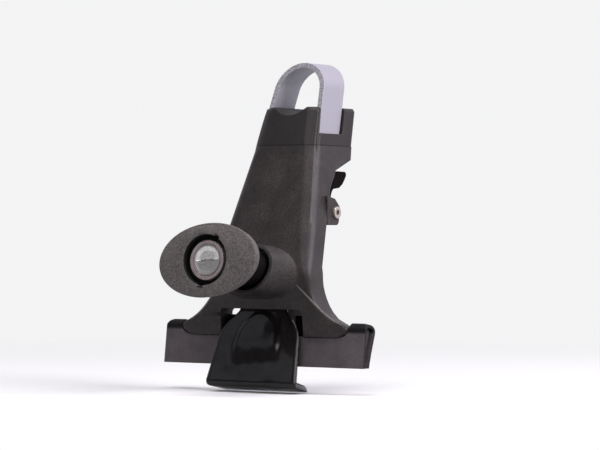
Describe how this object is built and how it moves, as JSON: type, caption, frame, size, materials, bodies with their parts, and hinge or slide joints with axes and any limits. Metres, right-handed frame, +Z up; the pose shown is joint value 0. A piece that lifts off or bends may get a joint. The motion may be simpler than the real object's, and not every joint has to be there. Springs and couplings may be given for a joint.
{
  "type": "roof bar foot",
  "caption": "Leaning tower foot for a round roof crossbar, with a strap and lever clamp, an oval locking knob, a door-frame clip and a long rubber pad.",
  "frame": {"origin": "on the round crossbar's axis, at the middle of the strap", "axes": "+Y along the crossbar inward over the roof, +Z up, +X along the vehicle; the knob faces -Y"},
  "size_m": [0.1372, 0.1327, 0.1928],
  "materials": {
    "tower_black": "fine-grained satin moulding",
    "saddle_black": "fine-grained satin moulding",
    "strap_aluminium": "bead-blasted satin, cut edges speckled",
    "zinc_steel": "zinc-plated",
    "pivot_steel": "bright-plated",
    "ring_steel": "phosphated",
    "lever_black": "satin",
    "knob_grey": "soft-touch grained",
    "hub_black": "satin",
    "lock_metal": "satin die-cast",
    "lock_face": "bright",
    "washer_brass": "plain",
    "clip_gloss": "gloss black",
    "liner_rubber": "dull",
    "pad_rubber": "dull",
    "rail_plastic": "plain"
  },
  "bodies": {
    "tower": {"tower_body": "tower_black", "saddle_cap": "saddle_black", "saddle_screws": "zinc_steel", "lever_pivot_screw": "pivot_steel", "lever_pivot_nut": "zinc_steel", "pivot_washers": "pivot_steel", "base_pad": "pad_rubber", "base_rail": "rail_plastic", "base_screws": "zinc_steel"},
    "strap": {"crossbar_strap": "strap_aluminium", "strap_cross_pin": "zinc_steel", "pull_links": "zinc_steel"},
    "lever": {"clamp_lever": "lever_black"},
    "knob": {"knob": "knob_grey", "knob_hub": "hub_black", "draw_screw": "zinc_steel", "retaining_ring": "ring_steel", "lock_housing": "lock_metal", "thrust_washer": "washer_brass"},
    "lock": {"lock_plug": "lock_face", "lock_cam": "zinc_steel"},
    "nut": {"trunnion_nut": "zinc_steel"},
    "clip": {"door_clip": "clip_gloss", "nut_cradle": "zinc_steel", "cradle_rivets": "zinc_steel", "clip_liner": "liner_rubber"}
  },
  "joints": [
    {"name": "lever_swing", "type": "hinge", "parent": "tower", "child": "lever", "pos_m": [0, -0.01706, -0.0716], "axis": [-1, 0, 0], "range_deg": [0, 85]},
    {"name": "strap_lift", "type": "slide", "parent": "tower", "child": "strap", "axis": [0, 0.342, 0.9397], "range_m": [0, 0.003]},
    {"name": "knob_turn", "type": "hinge", "parent": "tower", "child": "knob", "pos_m": [0, -0.1075, -0.099], "axis": [0, -0.9925, 0.1219], "range_deg": [0, 1800]},
    {"name": "key_turn", "type": "hinge", "parent": "knob", "child": "lock", "pos_m": [0, -0.1075, -0.099], "axis": [0, -0.9925, 0.1219], "range_deg": [0, 90]},
    {"name": "nut_travel", "type": "slide", "parent": "tower", "child": "nut", "axis": [0, 0.9925, -0.1219], "range_m": [0, 0.00625]},
    {"name": "clip_swing", "type": "hinge", "parent": "tower", "child": "clip", "pos_m": [0, -0.04899, -0.1277], "axis": [-1, 0, 0], "range_deg": [0, 16]}
  ],
  "couplings": [
    {"joint": "strap_lift", "follows": "lever_swing", "m_per_rad": 0.0020222},
    {"joint": "nut_travel", "follows": "knob_turn", "m_per_rad": 0.00019894},
    {"joint": "clip_swing", "follows": "knob_turn", "ratio": 0.0088889}
  ]
}
